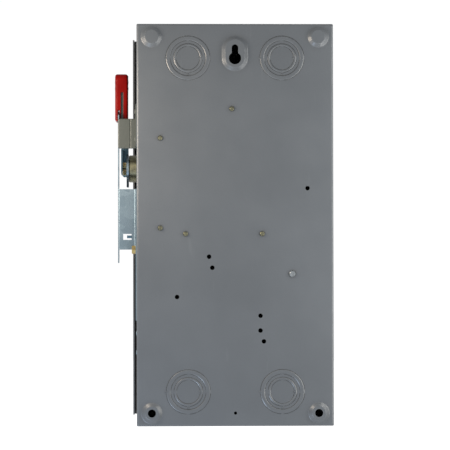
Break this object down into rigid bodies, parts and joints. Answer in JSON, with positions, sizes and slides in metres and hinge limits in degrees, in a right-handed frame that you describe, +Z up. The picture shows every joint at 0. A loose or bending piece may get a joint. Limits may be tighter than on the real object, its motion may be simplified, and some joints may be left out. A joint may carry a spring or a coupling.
{
  "type": "disconnect switch",
  "caption": "Wall-mounted sheet-steel disconnect switch box with a hinged cover, red side handle and guard, knife-blade contacts inside and a keyhole back.",
  "frame": {"origin": "on the wall, midway between the two lower mounting holes", "axes": "+Z up, +Y into the wall, so the cover faces -Y and the handle is on the +X side"},
  "size_m": [0.2269, 0.1629, 0.404],
  "materials": {
    "gray_enamel": "gray baked enamel",
    "bracket_enamel": "warm gray enamel",
    "red_grip": "moulded red plastic",
    "galvanised": "hot-dip galvanised",
    "zinc_steel": "bright zinc",
    "yellow_zinc": "yellow zinc chromate",
    "dull_zinc": "dulled zinc chromate",
    "brass_nut": "bright brass",
    "black_steel": "black oxide",
    "copper": "copper, lightly tarnished",
    "lug_aluminium": "tin-plated aluminium",
    "base_moulding": "moulded phenolic",
    "rotor_moulding": "moulded polyester",
    "fibre": "vulcanised fibre",
    "shield": "clear polycarbonate"
  },
  "bodies": {
    "enclosure": {"arc_chute_walls": "fibre", "arc_plates": "zinc_steel", "base_screws": "dull_zinc", "box_hinge_rivets": "zinc_steel", "bracket_rivets": "bracket_enamel", "bushing_locknut": "dull_zinc", "catch_plate": "galvanised", "cover_screw_tab": "galvanised", "enclosure_box": "gray_enamel", "frame_screws": "dull_zinc", "front_guard_bolt": "yellow_zinc", "ground_bar": "lug_aluminium", "ground_bar_screws": "zinc_steel", "ground_mount_screw": "zinc_steel", "handle_guard": "galvanised", "interlock_pin": "zinc_steel", "line_jaws": "copper", "line_lug_screws": "zinc_steel", "line_lugs": "lug_aluminium", "line_shield": "shield", "load_jaws": "copper", "load_lug_screws": "zinc_steel", "load_lugs": "lug_aluminium", "lower_box_leaf": "zinc_steel", "lower_catch_button": "galvanised", "lower_hinge_pin": "zinc_steel", "mechanism_frame": "galvanised", "rear_guard_bolt": "yellow_zinc", "rotor_end_bearing": "base_moulding", "shaft_bushing": "dull_zinc", "switch_base": "base_moulding", "throw_spring": "zinc_steel", "upper_box_leaf": "zinc_steel", "upper_bracket": "bracket_enamel", "upper_catch_button": "galvanised", "upper_hinge_pin": "zinc_steel"},
    "cover": {"cover": "gray_enamel", "lower_cover_leaf": "zinc_steel", "upper_cover_leaf": "zinc_steel", "cover_hinge_rivets": "zinc_steel", "cover_screw_retainer": "zinc_steel", "interlock_catch": "zinc_steel"},
    "cover_screw": {"cover_screw": "zinc_steel"},
    "defeat_screw": {"defeat_screw": "zinc_steel"},
    "handle": {"handle_shaft": "zinc_steel", "drive_crank": "zinc_steel", "crank_pin": "zinc_steel", "hub_plate": "galvanised", "upper_hub_nut": "brass_nut", "lower_hub_nut": "brass_nut", "lever_channel": "black_steel", "lever_tongue": "bracket_enamel", "handle_grip": "red_grip", "grip_rivets": "zinc_steel"},
    "rotor": {"rotor_bar": "rotor_moulding", "contact_blades": "copper", "rotor_disc": "zinc_steel"},
    "interlock_arm": {"interlock_arm": "zinc_steel"},
    "lock_slide": {"lock_slide": "black_steel"}
  },
  "joints": [
    {"name": "cover_hinge", "type": "hinge", "parent": "enclosure", "child": "cover", "pos_m": [-0.1047, -0.1358, 0.186], "axis": [0, 0, -1], "range_deg": [0, 110]},
    {"name": "handle_throw", "type": "hinge", "parent": "enclosure", "child": "handle", "pos_m": [0.09, -0.07, 0.244], "axis": [1, 0, 0], "range_deg": [0, 150]},
    {"name": "rotor_turn", "type": "hinge", "parent": "enclosure", "child": "rotor", "pos_m": [0.0112, -0.07, 0.244], "axis": [1, 0, 0], "range_deg": [0, 60]},
    {"name": "cover_screw_draw", "type": "slide", "parent": "cover", "child": "cover_screw", "axis": [0, -1, 0], "range_m": [0, 0.008]},
    {"name": "defeat_turn", "type": "hinge", "parent": "cover", "child": "defeat_screw", "pos_m": [0.0674, -0.1534, 0.284], "axis": [0, 1, 0], "range_deg": [0, 90]},
    {"name": "interlock_swing", "type": "hinge", "parent": "enclosure", "child": "interlock_arm", "pos_m": [0.087, -0.112, 0.27], "axis": [1, 0, 0], "range_deg": [0, 18], "stiffness_Nm_per_rad": 0.12, "springref_deg": -8.59},
    {"name": "lock_slide_draw", "type": "slide", "parent": "enclosure", "child": "lock_slide", "axis": [1, 0, 0], "range_m": [0, 0.0035]}
  ],
  "couplings": [
    {"joint": "rotor_turn", "follows": "handle_throw", "ratio": 0.4}
  ]
}
